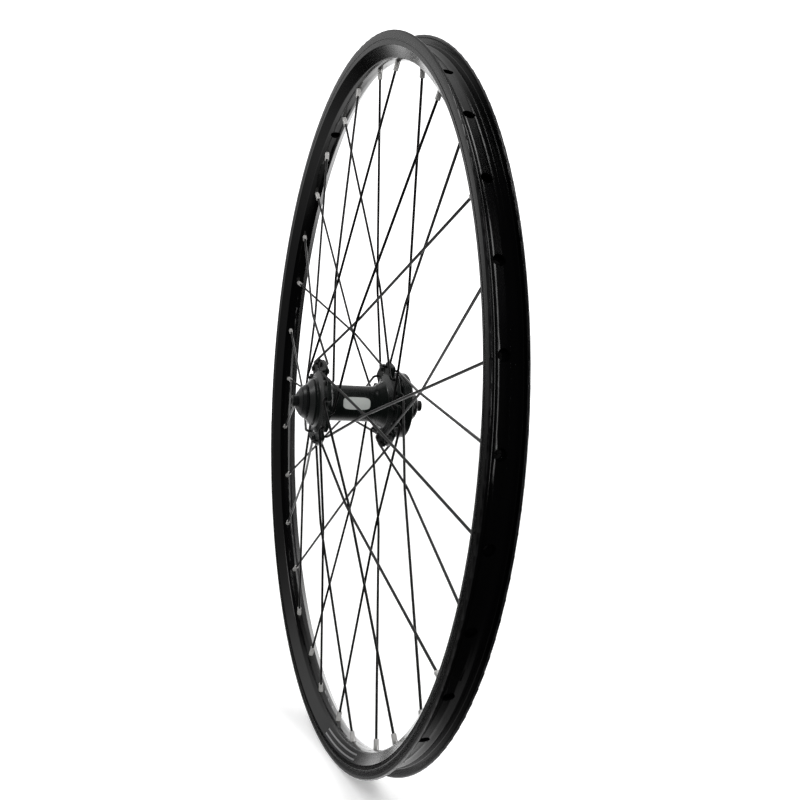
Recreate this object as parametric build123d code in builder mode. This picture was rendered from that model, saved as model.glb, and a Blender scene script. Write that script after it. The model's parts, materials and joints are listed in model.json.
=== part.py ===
"""Front disc-brake bicycle wheel: rim, 32 crossed spokes, nipples, hub, bearings and axle.

Units are millimetres. The origin is the wheel's centre, the wheel turns about +Y,
+Y points to the brake-disc side and +Z is up.
"""

from build123d import *
import os
from math import cos, radians, sin

# ---------------------------------------------------------------- driving dimensions
RIM_RADIUS = 286.0  # outer edge of the rim flanges
RIM_HALF_WIDTH = 12.5
BED_RADIUS = 266.2  # apex of the spoke bed, which faces the hub
BED_THICKNESS = 2.4
WELL_RADIUS = 277.6  # floor of the tyre well
RIM_WALL = 1.4
ACCESS_HOLE_RADIUS = 3.9  # spoke-key holes in the tyre bed
VALVE_HOLE_RADIUS = 4.25

SPOKES_PER_FLANGE = 16
HOLE_PITCH = 360 / (2 * SPOKES_PER_FLANGE)  # angle between neighbouring rim holes
HOLE_PHASE = 0.457  # turns the whole drilling pattern about the axle
CROSSINGS = 3
RIM_HOLE_STAGGER = 0.9  # rim holes step towards their own flange
SPOKE_RADIUS = 1.0
THREAD_RADIUS = 1.12
THREAD_LENGTH = 9.0
THREAD_GAP = 0.05
ELBOW_RADIUS = 3.0
ELBOW_STANDOFF = 3.0  # flange face to the spoke's centre line
CROSSING_BEND_RADIUS = 120.0
CROSSING_SPACING = 2.35  # centre to centre where two laced spokes cross
HEAD_RADIUS = 2.2
HEAD_HEIGHT = 0.8
HEAD_DOME = 0.5
HEAD_GAP = 0.05

NIPPLE_RADIUS = 2.0
NIPPLE_LENGTH = 12.0
NIPPLE_HEAD_RADIUS = 3.0
NIPPLE_CONE = 1.0  # height of the cone under the head, which seats in the rim
NIPPLE_HEAD_HEIGHT = 1.9
NIPPLE_SQUARE = 3.25  # across the key flats
NIPPLE_ROUND_LENGTH = 4.4  # round stretch between the seat and the flats
NIPPLE_SLOT = 0.9
NIPPLE_SEAT_DEPTH = 1.5  # spoke-bed surface to the narrow end of the seat's cone
SEAT_RADIUS = BED_RADIUS + NIPPLE_SEAT_DEPTH
SEAT_GAP = 0.06

FLANGE_RADIUS = 35.0
FLANGE_INNER_RADIUS = 19.0  # the flange starts inside the shell's web
FLANGE_THICKNESS = 3.0
FLANGE_LEFT = -32.7  # middle of each flange's thickness, along the axle
FLANGE_RIGHT = 24.2
SPOKE_CIRCLE_RADIUS = 31.0
FLANGE_HOLE_RADIUS = 1.3
SCALLOP_BOTTOM = 25.8
SCALLOP_RADIUS = 2.9
SCALLOP_MOUTH = 8.4
SCALLOP_COUNT = 8

BARREL_RADIUS = 14.6
SHELL_BORE = 11.0
DISC_MOUNT_RADIUS = 26.7
DISC_FACE = 39.5
DISC_PILOT_RADIUS = 17.5
DISC_PILOT_LENGTH = 1.7
DISC_BOLT_CIRCLE_RADIUS = 22.0
DISC_BOLT_COUNT = 6
DISC_BOLT_HOLE_RADIUS = 2.1
DISC_BOLT_HOLE_DEPTH = 9.0

BEARING_BORE = 6.0  # radii of a 12 x 24 x 6 cartridge bearing
BEARING_OUTER = 12.0
BEARING_WIDTH = 6.0
BALL_RADIUS = 1.5875
BALL_COUNT = 11
BALL_GAP = 0.05
POCKET_GAP = 0.1
BALL_CIRCLE = (BEARING_BORE + BEARING_OUTER) / 2
RACE_SHOULDER = 1.0  # each race's shoulder stands this far from the ball circle
CAGE_HALF_THICKNESS = 0.65
CAGE_HALF_WIDTH = 2.0
SEAL_THICKNESS = 0.5
SEAL_LIP_GAP = 0.3
BEARING_LEFT = -39.5  # middle of each bearing, along the axle
BEARING_RIGHT = 38.2

DROPOUT_FACE = 50.0  # half the over-locknut width
STUB_RADIUS = 4.5
STUB_LENGTH = 4.5
SKEWER_BORE = 2.6
AXLE_BORE = 4.0
AXLE_SHOULDER = 7.5
AXLE_HALF_LENGTH = 47.0
CAP_BASE = 47.4  # where each end cap meets its dust cover
CAP_BASE_RADIUS = 10.9
CAP_FACE_RADIUS = 7.7
CAP_PLUG_LENGTH = 8.0
COVER_RADIUS = 13.3
COVER_GAP = 0.4
FIT_GAP = 0.01

COVER_CHAMFER = 2.4
COVER_RIM = 0.5  # flat ring of the cover round the end cap's base
CAP_BASE_LENGTH = 0.5

# Corners of the rim's outer outline for y >= 0, as (radius, y, corner radius).
RIM_OUTLINE = [
    (WELL_RADIUS, 0.0, 0),
    (WELL_RADIUS, 3.6, 4.0),
    (WELL_RADIUS + 1.9, 6.2, 1.0),
    (WELL_RADIUS + 2.1, RIM_HALF_WIDTH - 1.5, 0.5),
    (RIM_RADIUS - 2.6, RIM_HALF_WIDTH - 1.5, 0.4),
    (RIM_RADIUS - 1.7, RIM_HALF_WIDTH - 2.2, 0.4),
    (RIM_RADIUS, RIM_HALF_WIDTH - 2.1, 0.8),
    (RIM_RADIUS, RIM_HALF_WIDTH - 0.15, 1.0),
    (RIM_RADIUS - 2.9, RIM_HALF_WIDTH, 3.0),
    (RIM_RADIUS - 5.9, RIM_HALF_WIDTH - 0.15, 0.1),
    (RIM_RADIUS - 6.1, RIM_HALF_WIDTH - 0.6, 0.1),
    (RIM_RADIUS - 6.9, RIM_HALF_WIDTH - 0.6, 0.1),
    (RIM_RADIUS - 7.2, RIM_HALF_WIDTH - 0.25, 0.2),
    (RIM_RADIUS - 10.2, RIM_HALF_WIDTH - 0.6, 0.8),
    (BED_RADIUS + 1.3, 5.8, 2.5),
    (BED_RADIUS, 2.5, 6.0),
    (BED_RADIUS, 0.0, 0),
]

# Corners of the closed chamber between the two beds, for y >= 0.
RIM_CAVITY = [
    (BED_RADIUS + BED_THICKNESS, 0.0, 0),
    (BED_RADIUS + BED_THICKNESS, 4.4, 0.8),
    (WELL_RADIUS - RIM_WALL, 10.2, 0.8),
    (WELL_RADIUS - RIM_WALL, 0.0, 0),
]

# Corners of the hub shell's half section, as (radius, y, corner radius).
FLANGE_LEFT_OUT = FLANGE_LEFT - FLANGE_THICKNESS / 2
FLANGE_LEFT_IN = FLANGE_LEFT + FLANGE_THICKNESS / 2
FLANGE_RIGHT_IN = FLANGE_RIGHT - FLANGE_THICKNESS / 2
FLANGE_RIGHT_OUT = FLANGE_RIGHT + FLANGE_THICKNESS / 2
WEB_RADIUS = SCALLOP_BOTTOM - 0.6
SHELL_LEFT_END = BEARING_LEFT - BEARING_WIDTH / 2 - 0.5
SHELL_RIGHT_END = DISC_FACE + DISC_PILOT_LENGTH
SHELL_OUTLINE = [
    (BEARING_OUTER, SHELL_LEFT_END, 0),
    (13.9, SHELL_LEFT_END, 0.3),
    (18.2, -39.5, 0.4),
    (18.2, -38.9, 0.1),
    (17.6, -38.8, 0.1),
    (17.6, -38.1, 0.1),
    (19.0, -37.9, 0.4),
    (20.2, -35.9, 1.2),
    (WEB_RADIUS, FLANGE_LEFT_OUT, 0.8),
    (WEB_RADIUS, FLANGE_LEFT_IN, 0.8),
    (20.0, FLANGE_LEFT_IN + 1.0, 2.5),
    (BARREL_RADIUS, FLANGE_LEFT_IN + 5.4, 4.0),
    (BARREL_RADIUS, 13.0, 8.0),
    (19.4, 20.6, 2.0),
    (WEB_RADIUS, FLANGE_RIGHT_IN, 0.8),
    (WEB_RADIUS, FLANGE_RIGHT_OUT, 0.8),
    (21.0, 27.2, 1.0),
    (21.0, 30.2, 0.6),
    (DISC_MOUNT_RADIUS, 30.8, 1.0),
    (DISC_MOUNT_RADIUS, DISC_FACE, 1.4),
    (DISC_PILOT_RADIUS, DISC_FACE, 0.2),
    (DISC_PILOT_RADIUS, SHELL_RIGHT_END, 0.4),
    (BEARING_OUTER, SHELL_RIGHT_END, 0),
]

AXLE_DIRECTION = (0, 1, 0)
STANDING = (Align.CENTER, Align.CENTER, Align.MIN)
HANGING = (Align.CENTER, Align.CENTER, Align.MAX)


# ---------------------------------------------------------------- helpers
def on_circle(radius, angle, y=0.0):
    """Point at an angle in the wheel's plane, measured from +X towards +Z."""
    return Vector(radius * cos(radians(angle)), y, radius * sin(radians(angle)))


def across(y):
    """Plane square to the axle, facing +Y, with +Z of the wheel up in the sketch."""
    return Plane(origin=(0, y, 0), x_dir=(-1, 0, 0), z_dir=AXLE_DIRECTION)


def sketch_angle(angle):
    """Polar angle in an across() sketch of a wheel angle."""
    return 180 - angle


def save(piece, name):
    """Labels a finished piece and writes its STEP file."""
    piece.part.label = name
    export_step(piece.part, f"parts/{name}.step")


# ---------------------------------------------------------------- lacing
class Spoke:
    """Places one spoke: hub hole, elbow, crossing and nipple seat."""

    def __init__(self, number):
        self.number = number
        self.rim_angle = HOLE_PHASE + HOLE_PITCH * (number - 0.5)
        self.side = -1 if number % 2 == 1 else 1  # -1 is the left flange
        self.trailing = 1 if number % 4 in (1, 2) else -1
        self.flange = FLANGE_LEFT if self.side < 0 else FLANGE_RIGHT
        swing = HOLE_PITCH * 2 * CROSSINGS
        self.hub_angle = self.rim_angle - self.trailing * swing
        self.outward = self.side if self.trailing < 0 else -self.side

    def corner(self):
        """Where the elbow's two straight runs would meet."""
        y = self.flange + self.outward * (FLANGE_THICKNESS / 2 + ELBOW_STANDOFF)
        return on_circle(SPOKE_CIRCLE_RADIUS, self.hub_angle, y)

    def head(self):
        """Underside of the head, on the flange face away from the elbow."""
        y = self.flange - self.outward * (FLANGE_THICKNESS / 2 + HEAD_GAP)
        return on_circle(SPOKE_CIRCLE_RADIUS, self.hub_angle, y)

    def seat(self):
        """Centre of the nipple's seat in the rim."""
        return on_circle(SEAT_RADIUS, self.rim_angle, self.side * RIM_HOLE_STAGGER)

    def crossing(self):
        """Last crossing, where the outer spoke is laced under the inner one."""
        to_rim = radians(HOLE_PITCH)
        span = radians(HOLE_PITCH * 2 * CROSSINGS)
        radius = (SPOKE_CIRCLE_RADIUS * SEAT_RADIUS * sin(span)) / (
            SPOKE_CIRCLE_RADIUS * sin(span - to_rim) + SEAT_RADIUS * sin(to_rim)
        )
        share = (radius - SPOKE_CIRCLE_RADIUS) / (SEAT_RADIUS - SPOKE_CIRCLE_RADIUS)
        middle = self.flange * (1 - share) + self.side * RIM_HOLE_STAGGER * share
        y = middle - self.outward * CROSSING_SPACING / 2
        return on_circle(radius, self.rim_angle - self.trailing * HOLE_PITCH, y)

    def direction(self):
        """Unit vector along the nipple, away from the hub."""
        return (self.seat() - self.crossing()).normalized()


spokes = [Spoke(number) for number in range(1, 2 * SPOKES_PER_FLANGE + 1)]


# ---------------------------------------------------------------- rim
def mirrored_face(corners):
    """Face of a half outline and its mirror image about the wheel's middle plane."""
    with BuildSketch(Plane.XY) as section:
        with BuildLine():
            points = [(radius, y) for radius, y, _ in corners]
            FilletPolyline(*points, radius=[turn for _, _, turn in corners[1:-1]])
            mirror(about=Plane.XZ)
        make_face()
    return section.sketch


with BuildPart() as rim:
    revolve(mirrored_face(RIM_OUTLINE), axis=Axis.Y)
    revolve(mirrored_face(RIM_CAVITY), axis=Axis.Y, mode=Mode.SUBTRACT)
    for spoke in spokes:
        tyre_bed = on_circle(WELL_RADIUS, spoke.rim_angle)
        with Locations(Plane(tyre_bed, z_dir=tyre_bed)):
            Cylinder(ACCESS_HOLE_RADIUS, 4 * RIM_WALL, mode=Mode.SUBTRACT)
        with Locations(Plane(spoke.seat(), z_dir=spoke.direction())):
            Cone(
                NIPPLE_RADIUS + SEAT_GAP,
                NIPPLE_HEAD_RADIUS + SEAT_GAP,
                NIPPLE_CONE,
                align=STANDING,
                mode=Mode.SUBTRACT,
            )
            Cylinder(NIPPLE_RADIUS + SEAT_GAP, 4 * BED_THICKNESS, mode=Mode.SUBTRACT)
        head_base = spoke.seat() + spoke.direction() * NIPPLE_CONE
        with Locations(Plane(head_base, z_dir=spoke.direction())):
            Cylinder(
                NIPPLE_HEAD_RADIUS + SEAT_GAP,
                NIPPLE_HEAD_HEIGHT,
                align=STANDING,
                mode=Mode.SUBTRACT,
            )
    valve_angle = HOLE_PHASE + 10 * HOLE_PITCH
    valve_seat = on_circle((BED_RADIUS + WELL_RADIUS) / 2, valve_angle)
    with Locations(Plane(valve_seat, z_dir=valve_seat)):
        Cylinder(VALVE_HOLE_RADIUS, 30, mode=Mode.SUBTRACT)


# ---------------------------------------------------------------- spokes and nipples
def make_spoke(spoke):
    """One J-bend spoke with its head, its elbow and its threaded end."""
    tip = spoke.seat() + spoke.direction() * NIPPLE_CONE
    thread_start = tip - spoke.direction() * THREAD_LENGTH
    with BuildPart() as piece:
        with BuildLine() as centre_line:
            FilletPolyline(
                spoke.head(),
                spoke.corner(),
                spoke.crossing(),
                thread_start,
                radius=[ELBOW_RADIUS, CROSSING_BEND_RADIUS],
            )
        outward = Vector(0, spoke.outward, 0)
        with BuildSketch(Plane(spoke.head(), z_dir=outward)):
            Circle(SPOKE_RADIUS)
        sweep(path=centre_line.line)
        with Locations(Plane(thread_start, z_dir=spoke.direction())):
            Cylinder(THREAD_RADIUS, THREAD_LENGTH, align=STANDING)
        with Locations(Plane(spoke.head(), z_dir=-outward)):
            Cylinder(HEAD_RADIUS, HEAD_HEIGHT, align=STANDING)
        with Locations(Plane(spoke.head() - outward * HEAD_HEIGHT, z_dir=-outward)):
            Cone(HEAD_RADIUS, HEAD_RADIUS / 2, HEAD_DOME, align=STANDING)
    return piece


def make_nipple(spoke):
    """One spoke nipple, seated in the rim along its spoke."""
    seat, along = spoke.seat(), spoke.direction()
    head_base = seat + along * NIPPLE_CONE
    head_top = head_base + along * NIPPLE_HEAD_HEIGHT
    barrel = NIPPLE_LENGTH - NIPPLE_CONE - NIPPLE_HEAD_HEIGHT
    with BuildPart(mode=Mode.PRIVATE) as nipple:
        with Locations(Plane(seat, z_dir=along)):
            Cylinder(NIPPLE_RADIUS, NIPPLE_ROUND_LENGTH, align=HANGING)
            Cone(NIPPLE_RADIUS, NIPPLE_HEAD_RADIUS, NIPPLE_CONE, align=STANDING)
        with BuildSketch(Plane(seat, z_dir=along).offset(-NIPPLE_ROUND_LENGTH)):
            Circle(NIPPLE_RADIUS)
            Rectangle(NIPPLE_SQUARE, NIPPLE_SQUARE, mode=Mode.INTERSECT)
        extrude(amount=-(barrel - NIPPLE_ROUND_LENGTH))
        with Locations(Plane(head_base, z_dir=along)):
            Cylinder(NIPPLE_HEAD_RADIUS, NIPPLE_HEAD_HEIGHT, align=STANDING)
        with Locations(Plane(head_top, z_dir=along)):
            Box(
                NIPPLE_SLOT,
                3 * NIPPLE_HEAD_RADIUS,
                NIPPLE_SLOT,
                align=HANGING,
                mode=Mode.SUBTRACT,
            )
        with Locations(Plane(seat, z_dir=along)):
            Cylinder(THREAD_RADIUS + THREAD_GAP, 3 * NIPPLE_LENGTH, mode=Mode.SUBTRACT)
    return nipple.part


# ---------------------------------------------------------------- hub shell
def flange(middle, first_hole):
    """Scalloped spoke flange with its drilled holes."""
    y_low = middle - FLANGE_THICKNESS / 2
    turn = sketch_angle(first_hole)
    scallop_turn = sketch_angle(first_hole + HOLE_PITCH)
    rim_side = FLANGE_RADIUS + SCALLOP_RADIUS
    with BuildPart() as piece:
        with BuildSketch(across(y_low)) as outline:
            Circle(FLANGE_RADIUS)
            Circle(FLANGE_INNER_RADIUS, mode=Mode.SUBTRACT)
            with PolarLocations(0, SCALLOP_COUNT, start_angle=scallop_turn):
                with BuildLine(mode=Mode.PRIVATE) as mouth:
                    Polyline(
                        (SCALLOP_BOTTOM + SCALLOP_RADIUS, -SCALLOP_RADIUS),
                        (rim_side, -SCALLOP_MOUTH / 2),
                        (rim_side, SCALLOP_MOUTH / 2),
                        (SCALLOP_BOTTOM + SCALLOP_RADIUS, SCALLOP_RADIUS),
                        close=True,
                    )
                add(make_face(mouth.line, mode=Mode.PRIVATE), mode=Mode.SUBTRACT)
            with PolarLocations(
                SCALLOP_BOTTOM + SCALLOP_RADIUS, SCALLOP_COUNT, scallop_turn
            ):
                Circle(SCALLOP_RADIUS, mode=Mode.SUBTRACT)
            tips = [
                corner
                for corner in outline.vertices()
                if corner.center().length > FLANGE_RADIUS - 0.1
            ]
            fillet(tips, 2.2)
        extrude(amount=FLANGE_THICKNESS)
        rims = piece.faces().filter_by(Plane.XZ).edges()
        chamfer(rims, 0.45)
        with BuildSketch(across(y_low)):
            with PolarLocations(SPOKE_CIRCLE_RADIUS, SPOKES_PER_FLANGE, turn):
                Circle(FLANGE_HOLE_RADIUS)
        extrude(amount=FLANGE_THICKNESS, mode=Mode.SUBTRACT)
    return piece.part


with BuildPart() as hub_shell:
    with BuildSketch(Plane.XY):
        with BuildLine():
            FilletPolyline(
                *[(radius, y) for radius, y, _ in SHELL_OUTLINE],
                radius=[turn for _, _, turn in SHELL_OUTLINE[1:-1]],
            )
            Polyline(
                SHELL_OUTLINE[-1][:2],
                (BEARING_OUTER, BEARING_RIGHT - BEARING_WIDTH / 2),
                (SHELL_BORE, BEARING_RIGHT - BEARING_WIDTH / 2),
                (SHELL_BORE, BEARING_LEFT + BEARING_WIDTH / 2),
                (BEARING_OUTER, BEARING_LEFT + BEARING_WIDTH / 2),
                SHELL_OUTLINE[0][:2],
            )
        make_face()
    revolve(axis=Axis.Y)
    add(flange(FLANGE_LEFT, spokes[0].hub_angle))
    add(flange(FLANGE_RIGHT, spokes[1].hub_angle))
    with BuildSketch(across(DISC_FACE)):
        with PolarLocations(DISC_BOLT_CIRCLE_RADIUS, DISC_BOLT_COUNT):
            Circle(DISC_BOLT_HOLE_RADIUS)
    extrude(amount=-DISC_BOLT_HOLE_DEPTH, mode=Mode.SUBTRACT)


# ---------------------------------------------------------------- bearings
def race(radius_fit, toward_balls, middle):
    """One bearing race: radius_fit on the shaft or in the shell, and a ball groove."""
    shoulder = BALL_CIRCLE - toward_balls * RACE_SHOULDER
    with BuildPart() as piece:
        with BuildSketch(Plane.XY):
            with Locations(((radius_fit + shoulder) / 2, middle)):
                Rectangle(abs(shoulder - radius_fit), BEARING_WIDTH)
            with Locations((BALL_CIRCLE, middle)):
                Circle(BALL_RADIUS + BALL_GAP, mode=Mode.SUBTRACT)
        revolve(axis=Axis.Y)
        outer_edges = piece.edges().filter_by(GeomType.CIRCLE).group_by(
            lambda edge: round(abs(edge.radius - radius_fit), 3)
        )[0]
        chamfer(outer_edges, 0.25)
    return piece


def ball_ring(middle):
    """The balls of one bearing, as separate solids."""
    with BuildPart() as piece:
        with Locations(across(middle)):
            with PolarLocations(BALL_CIRCLE, BALL_COUNT):
                Sphere(BALL_RADIUS)
    return piece


def cage(middle):
    """Cage that keeps the balls apart."""
    with BuildPart() as piece:
        with BuildSketch(across(middle - CAGE_HALF_WIDTH)):
            Circle(BALL_CIRCLE + CAGE_HALF_THICKNESS)
            Circle(BALL_CIRCLE - CAGE_HALF_THICKNESS, mode=Mode.SUBTRACT)
        extrude(amount=2 * CAGE_HALF_WIDTH)
        for ball in range(BALL_COUNT):
            pocket = on_circle(BALL_CIRCLE, 180 - ball * 360 / BALL_COUNT, middle)
            with Locations(Plane(pocket, z_dir=pocket - Vector(0, middle, 0))):
                Cylinder(
                    BALL_RADIUS + POCKET_GAP,
                    4 * CAGE_HALF_THICKNESS,
                    mode=Mode.SUBTRACT,
                )
    return piece


def seals(middle):
    """Both rubber seals of one bearing, fixed in the outer race."""
    radius_in = BALL_CIRCLE - RACE_SHOULDER + SEAL_LIP_GAP
    radius_out = BALL_CIRCLE + RACE_SHOULDER - FIT_GAP
    offset = BEARING_WIDTH / 2 - SEAL_THICKNESS
    with BuildPart() as piece:
        for seal_base in (middle - BEARING_WIDTH / 2, middle + offset):
            with BuildSketch(across(seal_base)):
                Circle(radius_out)
                Circle(radius_in, mode=Mode.SUBTRACT)
            extrude(amount=SEAL_THICKNESS)
    return piece


# ---------------------------------------------------------------- axle, covers and end caps
with BuildPart() as axle:
    with BuildSketch(Plane.XY):
        with BuildLine():
            low_shoulder = BEARING_LEFT + BEARING_WIDTH / 2
            high_shoulder = BEARING_RIGHT - BEARING_WIDTH / 2
            Polyline(
                (AXLE_BORE, -AXLE_HALF_LENGTH),
                (BEARING_BORE, -AXLE_HALF_LENGTH),
                (BEARING_BORE, low_shoulder),
                (AXLE_SHOULDER, low_shoulder),
                (AXLE_SHOULDER, high_shoulder),
                (BEARING_BORE, high_shoulder),
                (BEARING_BORE, AXLE_HALF_LENGTH),
                (AXLE_BORE, AXLE_HALF_LENGTH),
                close=True,
            )
        make_face()
    revolve(axis=Axis.Y)


def dust_cover(side, bearing_face, shell_face):
    """Cover that clamps the inner race and shields the bearing."""
    with BuildPart() as piece:
        with BuildSketch(Plane.XY):
            with BuildLine():
                outer = side * CAP_BASE
                inner = side * (abs(shell_face) + COVER_GAP)
                FilletPolyline(
                    (BEARING_BORE, outer),
                    (CAP_BASE_RADIUS + COVER_RIM, outer),
                    (COVER_RADIUS, outer - side * COVER_CHAMFER),
                    (COVER_RADIUS, inner),
                    (AXLE_SHOULDER, inner),
                    (AXLE_SHOULDER, bearing_face),
                    (BEARING_BORE, bearing_face),
                    radius=[0.4, 1.0, 0.2, 0, 0],
                )
                Line((BEARING_BORE, bearing_face), (BEARING_BORE, outer))
            make_face()
        revolve(axis=Axis.Y)
    return piece


def end_cap(side):
    """Push-in end cap: plug in the axle, dropout face and stub."""
    with BuildPart() as piece:
        with BuildSketch(Plane.XY):
            with BuildLine():
                FilletPolyline(
                    (SKEWER_BORE, side * (AXLE_HALF_LENGTH - CAP_PLUG_LENGTH)),
                    (AXLE_BORE - FIT_GAP, side * (AXLE_HALF_LENGTH - CAP_PLUG_LENGTH)),
                    (AXLE_BORE - FIT_GAP, side * CAP_BASE),
                    (CAP_BASE_RADIUS, side * CAP_BASE),
                    (CAP_BASE_RADIUS, side * (CAP_BASE + CAP_BASE_LENGTH)),
                    (CAP_FACE_RADIUS, side * DROPOUT_FACE),
                    (STUB_RADIUS, side * DROPOUT_FACE),
                    (STUB_RADIUS, side * (DROPOUT_FACE + STUB_LENGTH)),
                    (SKEWER_BORE, side * (DROPOUT_FACE + STUB_LENGTH)),
                    radius=[0.3, 0, 0.2, 0.3, 0.3, 0, 0.5],
                )
                Line(
                    (SKEWER_BORE, side * (DROPOUT_FACE + STUB_LENGTH)),
                    (SKEWER_BORE, side * (AXLE_HALF_LENGTH - CAP_PLUG_LENGTH)),
                )
            make_face()
        revolve(axis=Axis.Y)
    return piece


# ---------------------------------------------------------------- write every piece
os.makedirs("parts", exist_ok=True)
save(rim, "rim")
save(hub_shell, "hub_shell")
save(axle, "axle")
for spoke in spokes:
    save(make_spoke(spoke), f"spoke_{spoke.number:02d}")
for side_name, side in (("left", -1), ("right", 1)):
    with BuildPart() as nipples:
        for spoke in spokes:
            if spoke.side == side:
                add(make_nipple(spoke))
    save(nipples, f"nipples_{side_name}")
    middle = BEARING_LEFT if side < 0 else BEARING_RIGHT
    inner_race = race(BEARING_BORE, 1, middle)
    outer_race = race(BEARING_OUTER, -1, middle)
    save(inner_race, f"bearing_{side_name}_inner_race")
    save(outer_race, f"bearing_{side_name}_outer_race")
    save(ball_ring(middle), f"bearing_{side_name}_balls")
    save(cage(middle), f"bearing_{side_name}_cage")
    save(seals(middle), f"bearing_{side_name}_seals")
    shell_face = SHELL_LEFT_END if side < 0 else SHELL_RIGHT_END
    bearing_face = middle + side * BEARING_WIDTH / 2
    save(dust_cover(side, bearing_face, shell_face), f"dust_cover_{side_name}")
    save(end_cap(side), f"end_cap_{side_name}")
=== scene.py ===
"""Looks of the spoked disc-brake wheel: studio, camera, materials and printed marks.

Units are metres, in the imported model's frame: the axle lies along Y, +Z is up.
"""

import json
from math import cos, radians, sin

import bpy
from mathutils import Matrix, Vector


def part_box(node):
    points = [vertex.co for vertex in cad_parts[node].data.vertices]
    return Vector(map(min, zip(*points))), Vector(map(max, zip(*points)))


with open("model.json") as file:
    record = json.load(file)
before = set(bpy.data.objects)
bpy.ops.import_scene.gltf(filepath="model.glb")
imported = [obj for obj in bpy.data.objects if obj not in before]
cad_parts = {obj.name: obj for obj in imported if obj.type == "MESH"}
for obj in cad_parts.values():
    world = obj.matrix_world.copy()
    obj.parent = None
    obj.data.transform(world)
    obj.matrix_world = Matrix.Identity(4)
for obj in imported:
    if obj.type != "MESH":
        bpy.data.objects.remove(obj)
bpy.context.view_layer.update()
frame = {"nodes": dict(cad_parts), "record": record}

# ---------------------------------------------------------------- places taken from the frame
RIM_LOW, RIM_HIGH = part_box("rim")
RIM_RADIUS = RIM_HIGH.z

# ---------------------------------------------------------------- camera, as in the photograph
CAMERA_PLACE = Vector((2.6412 * RIM_RADIUS, -0.785 * RIM_RADIUS, 0.0))
CAMERA_YAW = 1.2381
CAMERA_PITCH = -0.0053
CAMERA_ROLL = 0.0385
CAMERA_LENS = 43.52
SENSOR_WIDTH = 36.0
CLIP_START = 0.01
CLIP_END = 50


def add_camera():
    """Camera at the photograph's place, with a small roll."""
    back = Vector(
        (
            sin(CAMERA_YAW) * cos(CAMERA_PITCH),
            -cos(CAMERA_YAW) * cos(CAMERA_PITCH),
            sin(CAMERA_PITCH),
        )
    )
    right = Vector((cos(CAMERA_YAW), sin(CAMERA_YAW), 0))
    up = right.cross(-back)
    rolled_right = right * cos(CAMERA_ROLL) + up * sin(CAMERA_ROLL)
    rolled_up = up * cos(CAMERA_ROLL) - right * sin(CAMERA_ROLL)
    data = bpy.data.cameras.new("camera")
    data.lens = CAMERA_LENS
    data.sensor_width = SENSOR_WIDTH
    data.clip_start = CLIP_START
    data.clip_end = CLIP_END
    camera = bpy.data.objects.new("camera", data)
    bpy.context.scene.collection.objects.link(camera)
    axes = Matrix((rolled_right, rolled_up, back)).transposed()
    camera.matrix_world = Matrix.Translation(CAMERA_PLACE) @ axes.to_4x4()
    bpy.context.scene.camera = camera


# ---------------------------------------------------------------- node helpers
class NodeTree:
    """A node tree with short calls for the nodes that the finishes and the world share."""

    def __init__(self, tree):
        self.nodes = tree.nodes
        self.links = tree.links

    def link(self, output, target):
        self.links.new(output, target)

    def feed(self, value, socket):
        """Sets socket to a number, or links an output to it."""
        if isinstance(value, (int, float)):
            socket.default_value = value
        else:
            self.link(value, socket)

    def math(self, operation, *values):
        node = self.nodes.new("ShaderNodeMath")
        node.operation = operation
        for value, socket in zip(values, node.inputs):
            self.feed(value, socket)
        return node.outputs[0]

    def ramp(self, value, low, high, from_value=0.0, to_value=1.0, kind="LINEAR"):
        """from_value at low, to_value at high, and no further beyond them."""
        node = self.nodes.new("ShaderNodeMapRange")
        node.interpolation_type = kind
        node.clamp = True
        for name, number in (
            ("From Min", low),
            ("From Max", high),
            ("To Min", from_value),
            ("To Max", to_value),
        ):
            node.inputs[name].default_value = number
        self.link(value, node.inputs["Value"])
        return node.outputs["Result"]


NOISE_SPAN = (0.3, 0.7)  # where most values of a noise lie


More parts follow.
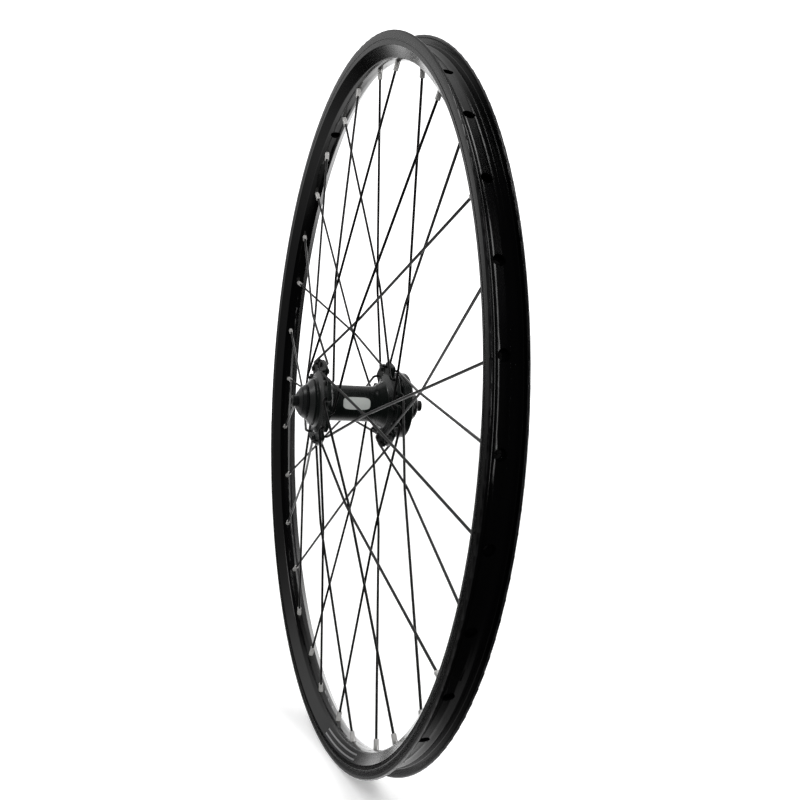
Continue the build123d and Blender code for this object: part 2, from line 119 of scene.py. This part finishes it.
class Shader(NodeTree):
    """A material's node tree."""

    def __init__(self, name):
        self.material = bpy.data.materials.new(name)
        self.material.use_nodes = True
        super().__init__(self.material.node_tree)
        self.bsdf = self.nodes["Principled BSDF"]
        self.place = self.nodes.new("ShaderNodeTexCoord").outputs["Object"]

    def split(self):
        node = self.nodes.new("ShaderNodeSeparateXYZ")
        self.link(self.place, node.inputs[0])
        return node.outputs

    def radius(self):
        """Distance from the axle."""
        x, _, z = self.split()
        squares = self.math("ADD", self.math("MULTIPLY", x, x), self.math("MULTIPLY", z, z))
        return self.math("SQRT", squares)

    def angle(self):
        """Angle about the axle from +X towards +Z, in radians."""
        x, _, z = self.split()
        return self.math("ARCTAN2", z, x)

    def noise(self, scale, detail=3.0, vector=None):
        node = self.nodes.new("ShaderNodeTexNoise")
        node.inputs["Scale"].default_value = scale
        node.inputs["Detail"].default_value = detail
        self.link(self.place if vector is None else vector, node.inputs["Vector"])
        return node.outputs["Fac"]

    def rings(self, scale, detail=3.0):
        """Fine lines that run round the axle."""
        _, y, _ = self.split()
        across = self.math("MULTIPLY", self.radius(), scale)
        along = self.math("MULTIPLY", y, scale)
        node = self.nodes.new("ShaderNodeCombineXYZ")
        self.link(across, node.inputs[0])
        self.link(along, node.inputs[1])
        return self.noise(1.0, detail, node.outputs[0])

    def band(self, value, middle, half_width, soft):
        """1 where value is within half_width of middle, fading to 0 over soft."""
        away = self.math("ABSOLUTE", self.math("SUBTRACT", value, middle))
        return self.ramp(away, half_width, half_width + soft, 1.0, 0.0)

    def vary(self, noise, low, high):
        """low to high as a noise goes through its usual range."""
        return self.ramp(noise, *NOISE_SPAN, low, high)

    def colours(self, value, first, second):
        """Mix of two colours, each a tuple or an output: first at 0, second at 1."""
        node = self.nodes.new("ShaderNodeMix")
        node.data_type = "RGBA"
        colour_sockets = [socket for socket in node.inputs if socket.type == "RGBA"]
        for socket, colour in zip(colour_sockets, (first, second)):
            if isinstance(colour, tuple):
                socket.default_value = (*colour, 1.0)
            else:
                self.link(colour, socket)
        self.link(value, node.inputs["Factor"])
        return [socket for socket in node.outputs if socket.type == "RGBA"][0]

    def bump(self, height, distance, strength):
        node = self.nodes.new("ShaderNodeBump")
        node.inputs["Distance"].default_value = distance
        node.inputs["Strength"].default_value = strength
        self.link(height, node.inputs["Height"])
        return node.outputs["Normal"]

    def set(self, **values):
        """Sets or links the Principled BSDF's inputs, named with _ for a space."""
        for name, value in values.items():
            socket = self.bsdf.inputs[name.replace("_", " ")]
            if isinstance(value, tuple):
                socket.default_value = (*value, 1.0)
            else:
                self.feed(value, socket)
        return self.material


# ---------------------------------------------------------------- printed marks
PINSTRIPE_RADII = (0.2705, 0.2738)  # two plain printed lines on the rim's left wall
PINSTRIPE_HALF_WIDTH = 0.00045
PINSTRIPE_SOFT = 0.0001
PINSTRIPE_MIDDLE = radians(-85.5)
PINSTRIPE_HALF_ARC = radians(8.5)
PINSTRIPE_ARC_SOFT = 0.001
LEFT_WALL = (-0.005, -0.004)  # the print ends between these places along the axle
PINSTRIPE_COLOUR = (0.4, 0.4, 0.41)
PATCH_MIDDLE = -0.0047  # plain printed patch on the front of the hub's barrel
PATCH_HALF_LENGTH = 0.0112
PATCH_HALF_HEIGHT = 0.005
PATCH_POWER = 4.0  # of the superellipse that rounds the corners
PATCH_EDGE = (0.92, 1.08)
PATCH_FRONT = (0.0, 0.001)
PATCH_RADIUS = 0.0149
PATCH_RADIUS_SOFT = 0.0002
PATCH_COLOUR = (0.46, 0.48, 0.46)


def pinstripes(s):
    """Mask of the two plain lines printed on the rim."""
    radius = s.radius()
    _, y, _ = s.split()
    inner, outer = [
        s.band(radius, middle, PINSTRIPE_HALF_WIDTH, PINSTRIPE_SOFT) for middle in PINSTRIPE_RADII
    ]
    arc = s.band(s.angle(), PINSTRIPE_MIDDLE, PINSTRIPE_HALF_ARC, PINSTRIPE_ARC_SOFT)
    left = s.ramp(y, *LEFT_WALL, 1.0, 0.0)
    return s.math("MULTIPLY", s.math("MAXIMUM", inner, outer), s.math("MULTIPLY", arc, left))


def patch(s):
    """Mask of the plain rounded patch printed on the barrel."""
    x, y, z = s.split()
    length = s.math("DIVIDE", s.math("SUBTRACT", y, PATCH_MIDDLE), PATCH_HALF_LENGTH)
    height = s.math("DIVIDE", z, PATCH_HALF_HEIGHT)
    powers = [s.math("POWER", part, PATCH_POWER) for part in (length, height)]
    inside = s.ramp(s.math("ADD", *powers), *PATCH_EDGE, 1.0, 0.0)
    barrel = s.ramp(s.radius(), PATCH_RADIUS, PATCH_RADIUS + PATCH_RADIUS_SOFT, 1.0, 0.0)
    front = s.math("MULTIPLY", s.ramp(x, *PATCH_FRONT), barrel)
    return s.math("MULTIPLY", inside, front)


# ---------------------------------------------------------------- finishes
COAT_IOR = 1.55
CLOUD_ROUGHNESS = (-0.02, 0.02)  # what a cloud adds to the roughness

RIM_LINES = 9000.0  # scales of the rim's noises
RIM_CLOUD = 28.0
RIM_GRAIN = 4200.0
RIM_WEAR_AND_HIGHLIGHT_NOISE = 160.0
RIM_WEAR_AND_HIGHLIGHT_SPAN = (0.3, 0.6)
RIM_EDGE = (RIM_RADIUS - 0.0009, RIM_RADIUS - 0.0002)  # from coated to worn and painted highlight
RIM_DARK = (0.0006, 0.0006, 0.0007)
RIM_LIGHT = (0.0016, 0.0016, 0.0018)
# colour of the outer edge below: partly wear, partly a painted highlight
RIM_WORN_AND_HIGHLIGHT = (0.012, 0.012, 0.0125)
RIM_ROUGHNESS = (0.17, 0.23)
RIM_LINES_SHARE = 0.7  # of the relief; the grain has the rest
RIM_GRAIN_SHARE = 0.3
RIM_RELIEF = (0.00002, 0.35)  # distance and strength, as in the other reliefs

RING_SCALE = 7000.0
RING_CLOUD = 70.0
RING_ROUGHNESS = 0.03  # either side of a part's own roughness
RING_RELIEF = (0.00002, 0.3)

SPOKE_CLOUD = 60.0
SPOKE_RUBS = 320.0
SPOKE_RUB_SPAN = (0.66, 0.72)
SPOKE_RUB_SHARE = 0.5
SPOKE_DARK = (0.002, 0.002, 0.002)
SPOKE_LIGHT = (0.005, 0.005, 0.005)
SPOKE_RUBBED = (0.02, 0.02, 0.02)
SPOKE_ROUGHNESS = (0.28, 0.38)
SPOKE_GRAIN = 5200.0
SPOKE_RELIEF = (0.00001, 0.3)

NICKEL_CLOUD = 420.0
NICKEL_DARK = (0.74, 0.73, 0.71)
NICKEL_LIGHT = (0.9, 0.89, 0.87)
NICKEL_METALLIC = 0.55
NICKEL_ROUGHNESS = (0.36, 0.48)
NICKEL_MARKS = 6000.0
NICKEL_RELIEF = (0.00001, 0.4)
HEAD_RADIUS = 0.2682  # the nipples' heads lie beyond this, inside the rim, where they get painted shade
HEAD_SOFT = 0.0005
# painted shade for the nipples' heads inside the rim
HEAD_PAINTED_SHADE = (0.012, 0.012, 0.012)

SOFT_CLOUD = 90.0
SOFT_ROUGHNESS = 0.05  # either side of a part's own roughness
SOFT_GRAIN = 3000.0
SOFT_RELIEF = (0.00003, 0.4)


def rim_finish():
    """Glossy black anodised extrusion with drawn lines round it, a print, and a lighter outer edge
    that is partly wear and partly a painted highlight.
    """
    s = Shader("rim_black")
    lines = s.rings(RIM_LINES, 4)
    cloud = s.noise(RIM_CLOUD, 4)
    grain = s.noise(RIM_GRAIN, 2)
    # The outer edge is painted lighter: partly wear, partly a painted highlight standing in for the
    # edge's gleam.
    edge = s.ramp(s.radius(), *RIM_EDGE)
    wear_and_highlight = s.math("MULTIPLY", edge, s.ramp(s.noise(RIM_WEAR_AND_HIGHLIGHT_NOISE, 3), *RIM_WEAR_AND_HIGHLIGHT_SPAN))
    base = s.colours(cloud, RIM_DARK, RIM_LIGHT)
    base = s.colours(wear_and_highlight, base, RIM_WORN_AND_HIGHLIGHT)
    base = s.colours(pinstripes(s), base, PINSTRIPE_COLOUR)
    rough = s.math("ADD", s.vary(lines, *RIM_ROUGHNESS), s.vary(cloud, *CLOUD_ROUGHNESS))
    height = s.math(
        "ADD",
        s.math("MULTIPLY", lines, RIM_LINES_SHARE),
        s.math("MULTIPLY", grain, RIM_GRAIN_SHARE),
    )
    return s.set(Base_Color=base, Roughness=rough, IOR=COAT_IOR, Normal=s.bump(height, *RIM_RELIEF))


def turned_finish(name, dark, light, rough, ior=COAT_IOR, metallic=0.0, print_mask=None):
    """Turned round part: fine rings about the axle over a slight cloud."""
    s = Shader(name)
    rings = s.rings(RING_SCALE)
    cloud = s.noise(RING_CLOUD, 4)
    base = s.colours(cloud, dark, light)
    if print_mask is not None:
        base = s.colours(print_mask(s), base, PATCH_COLOUR)
    ring_rough = s.vary(rings, rough - RING_ROUGHNESS, rough + RING_ROUGHNESS)
    rough = s.math("ADD", ring_rough, s.vary(cloud, *CLOUD_ROUGHNESS))
    normal = s.bump(rings, *RING_RELIEF)
    return s.set(Base_Color=base, Roughness=rough, IOR=ior, Metallic=metallic, Normal=normal)


def spoke_finish():
    """Black coated wire: satin, with a faint drawn grain and small rubs."""
    s = Shader("spoke_black")
    cloud = s.noise(SPOKE_CLOUD, 3)
    rubs = s.ramp(s.noise(SPOKE_RUBS, 4), *SPOKE_RUB_SPAN)
    base = s.colours(cloud, SPOKE_DARK, SPOKE_LIGHT)
    base = s.colours(s.math("MULTIPLY", rubs, SPOKE_RUB_SHARE), base, SPOKE_RUBBED)
    rough = s.vary(cloud, *SPOKE_ROUGHNESS)
    normal = s.bump(s.noise(SPOKE_GRAIN, 2), *SPOKE_RELIEF)
    return s.set(Base_Color=base, Roughness=rough, IOR=COAT_IOR, Normal=normal)


def nickel_finish():
    """Pale satin nickel on the nipples, with fine tool marks.

    The heads get painted shade, a dark colour, because the fill light would show them through the
    key holes.
    """
    s = Shader("nipple_nickel")
    cloud = s.noise(NICKEL_CLOUD, 3)
    base = s.colours(cloud, NICKEL_DARK, NICKEL_LIGHT)
    # Painted shade: the heads inside the rim are coloured dark.
    head_painted_shade_mask = s.ramp(s.radius(), HEAD_RADIUS - HEAD_SOFT, HEAD_RADIUS + HEAD_SOFT)
    base = s.colours(head_painted_shade_mask, base, HEAD_PAINTED_SHADE)
    rough = s.vary(cloud, *NICKEL_ROUGHNESS)
    normal = s.bump(s.noise(NICKEL_MARKS, 2), *NICKEL_RELIEF)
    return s.set(Base_Color=base, Metallic=NICKEL_METALLIC, Roughness=rough, Normal=normal)


def soft_finish(name, dark, light, rough):
    """Moulded plastic or rubber with a fine grain."""
    s = Shader(name)
    cloud = s.noise(SOFT_CLOUD, 3)
    base = s.colours(cloud, dark, light)
    rough = s.vary(cloud, rough - SOFT_ROUGHNESS, rough + SOFT_ROUGHNESS)
    normal = s.bump(s.noise(SOFT_GRAIN, 3), *SOFT_RELIEF)
    return s.set(Base_Color=base, Roughness=rough, Normal=normal)


FINISHES = {
    "rim_black": rim_finish(),
    "hub_black": turned_finish(
        "hub_black",
        (0.0025, 0.0036, 0.0032),
        (0.005, 0.0066, 0.006),
        0.26,
        ior=1.72,
        print_mask=patch,
    ),
    "cap_black": turned_finish(
        "cap_black", (0.004, 0.0045, 0.0045), (0.008, 0.0085, 0.0085), 0.27, ior=1.65
    ),
    "spoke_black": spoke_finish(),
    "nipple_nickel": nickel_finish(),
    "axle_steel": turned_finish(
        "axle_steel", (0.42, 0.42, 0.43), (0.55, 0.55, 0.56), 0.25, metallic=1.0
    ),
    "bearing_steel": turned_finish(
        "bearing_steel", (0.55, 0.55, 0.56), (0.68, 0.68, 0.69), 0.15, metallic=1.0
    ),
    "cage_nylon": soft_finish("cage_nylon", (0.62, 0.56, 0.42), (0.7, 0.64, 0.5), 0.5),
    "seal_rubber": soft_finish("seal_rubber", (0.012, 0.012, 0.012), (0.02, 0.02, 0.02), 0.6),
}


def dress_cad_nodes():
    """Gives every CAD node the finish of its material slot."""
    for part in frame["record"]["subparts"]:
        node = frame["nodes"][part["node"]]
        node.data.materials.clear()
        node.data.materials.append(FINISHES[part["material_slot"]])


# ---------------------------------------------------------------- studio
# Directions are seen from the wheel: ahead is away from the camera, aside is to the right.
# A span gives the cosines where a part of the room starts and ends.
FLOOR_HALF = 12.0
FLOOR_GAP = 0.0004
FLOOR_GLOW = 0.3
FLOOR_TONE_SCALE = 3.0
FLOOR_TONES = ((0.89, 0.89, 0.89), (0.91, 0.91, 0.91))
FLOOR_ROUGHNESS = 0.9
FLOOR_SUN = 1.9
FLOOR_SUN_ANGLE = radians(100)
FILL_SUN = 3.2  # frontal fill, kept out of the glossy reflections
FILL_ANGLE = radians(30)
FILL_PLACE = (2.0, -0.7, 0.15)
STUDIO_DARK = 0.008
WALL_STRENGTH = 1.6  # white wall behind the wheel
WALL_LEFT = (-0.47, -0.3)
WALL_RIGHT = (0.4, 0.6)
WALL_TOP = (0.35, 0.6)
WALL_AHEAD = (0.3, 0.6)
LEFT_STRENGTH = 0.13  # dim side of the room on the left
LEFT_SPAN = (-0.85, -0.6)
SKY_STRENGTH = 0.45
SKY_SPAN = (-0.1, 0.3)
SKY_AHEAD = (0.0, 0.4)
GROUND_SPAN = (-0.6, -0.28)
GROUND_UNDER = 0.2
UNDER_AHEAD = (-0.4, 0.0)
GROUND_BEHIND = 0.85
BEHIND_AHEAD = (0.1, 0.6)
GROUND_RIGHT = (0.0, 0.35)  # the pale ground ends on the right
SOFT_BOXES = (  # name, place, width and height, power in watts
    ("right_box", (1.35, 1.7, 0.55), (0.75, 2.6), 18.5),
    ("upper_right_box", (0.1, 1.35, 1.75), (0.7, 0.9), 5.5),
    ("left_box", (-0.3, -1.6, 1.35), (0.7, 0.8), 4.5),
    ("top_strip", (0.35, -0.1, 1.3), (0.14, 0.5), 0.8),
)


def new_light(name, kind, power):
    """A SUN or an AREA light in the scene, pointing down."""
    data = bpy.data.lights.new(name, kind)
    data.energy = power
    light = bpy.data.objects.new(name, data)
    bpy.context.scene.collection.objects.link(light)
    return light


def aim_from(light, place):
    """Turns a light so that it shines from place to the wheel's centre."""
    light.rotation_mode = "QUATERNION"
    light.rotation_quaternion = (-Vector(place)).to_track_quat("-Z", "Y")


def add_floor():
    """Pale floor under the rim, with a wide sun from above that lights only the floor."""
    height = RIM_LOW.z - FLOOR_GAP
    mesh = bpy.data.meshes.new("floor")
    corners = [
        (x * FLOOR_HALF, y * FLOOR_HALF, height) for x, y in ((-1, -1), (1, -1), (1, 1), (-1, 1))
    ]
    mesh.from_pydata(corners, [], [(0, 1, 2, 3)])
    floor = bpy.data.objects.new("floor", mesh)
    bpy.context.scene.collection.objects.link(floor)
    s = Shader("floor_white")
    white = s.colours(s.noise(FLOOR_TONE_SCALE, 2), *FLOOR_TONES)
    s.set(Base_Color=white, Roughness=FLOOR_ROUGHNESS, Specular_IOR_Level=0.0)
    s.set(Emission_Color=(1.0, 1.0, 1.0), Emission_Strength=FLOOR_GLOW)
    floor.data.materials.append(s.material)
    floor.visible_glossy = False
    floor.visible_diffuse = False
    lit = bpy.data.collections.new("floor_only")
    lit.objects.link(floor)
    sun = new_light("floor_light", "SUN", FLOOR_SUN)
    sun.data.angle = FLOOR_SUN_ANGLE
    sun.light_linking.receiver_collection = lit


class World(NodeTree):
    """The world's node tree."""

    def dot(self, vector, direction):
        node = self.nodes.new("ShaderNodeVectorMath")
        node.operation = "DOT_PRODUCT"
        node.inputs[1].default_value = direction
        self.link(vector, node.inputs[0])
        return node.outputs["Value"]

    def step(self, value, low, high, from_value=0.0, to_value=1.0):
        return self.ramp(value, low, high, from_value, to_value, "SMOOTHSTEP")


def add_world():
    """White to the camera; in reflections a dim room with a white wall behind the wheel."""
    world = bpy.data.worlds.new("studio")
    world.use_nodes = True
    w = World(world.node_tree)
    direction = w.nodes.new("ShaderNodeTexCoord").outputs["Generated"]
    ahead = (-CAMERA_PLACE).normalized()
    aside = Vector((-ahead.y, ahead.x, 0)) * -1
    forward = w.dot(direction, ahead)
    lateral = w.dot(direction, aside)
    upward = w.dot(direction, (0, 0, 1))
    wall = w.math("MULTIPLY", w.step(lateral, *WALL_LEFT), w.step(lateral, *WALL_RIGHT, 1.0, 0.0))
    wall = w.math("MULTIPLY", wall, w.step(forward, *WALL_AHEAD))
    wall = w.math("MULTIPLY", wall, w.step(w.math("ABSOLUTE", upward), *WALL_TOP, 1.0, 0.0))
    wall = w.math("MULTIPLY", wall, WALL_STRENGTH)
    sky = w.step(upward, *SKY_SPAN, 0.0, SKY_STRENGTH)
    sky = w.math("MULTIPLY", sky, w.step(forward, *SKY_AHEAD))
    under = w.step(forward, *UNDER_AHEAD, 0.0, GROUND_UNDER)
    behind = w.step(forward, *BEHIND_AHEAD, 0.0, GROUND_BEHIND)
    ground = w.step(upward, *GROUND_SPAN, 1.0, 0.0)
    ground = w.math("MULTIPLY", ground, w.math("ADD", under, behind))
    ground = w.math("MULTIPLY", ground, w.step(lateral, *GROUND_RIGHT, 1.0, 0.0))
    left = w.step(lateral, *LEFT_SPAN, LEFT_STRENGTH, 0.0)
    room = w.math("ADD", w.math("ADD", sky, ground), w.math("ADD", left, STUDIO_DARK))
    room = w.math("MAXIMUM", room, wall)
    camera_ray = w.nodes.new("ShaderNodeLightPath").outputs["Is Camera Ray"]
    background = w.nodes["Background"]
    background.inputs["Color"].default_value = (1, 1, 1, 1)
    w.link(w.math("MAXIMUM", room, camera_ray), background.inputs["Strength"])
    bpy.context.scene.world = world


def add_lights():
    """Soft boxes, and a frontal fill that stays out of glossy reflections."""
    for name, place, size, power in SOFT_BOXES:
        box = new_light(name, "AREA", power)
        box.data.shape = "RECTANGLE"
        box.data.size, box.data.size_y = size
        box.location = place
        aim_from(box, place)
    fill = new_light("front_fill", "SUN", FILL_SUN)
    fill.data.angle = FILL_ANGLE
    aim_from(fill, FILL_PLACE)
    fill.visible_glossy = False


bpy.context.scene.view_settings.view_transform = "Standard"
add_camera()
add_world()
add_floor()
add_lights()
dress_cad_nodes()
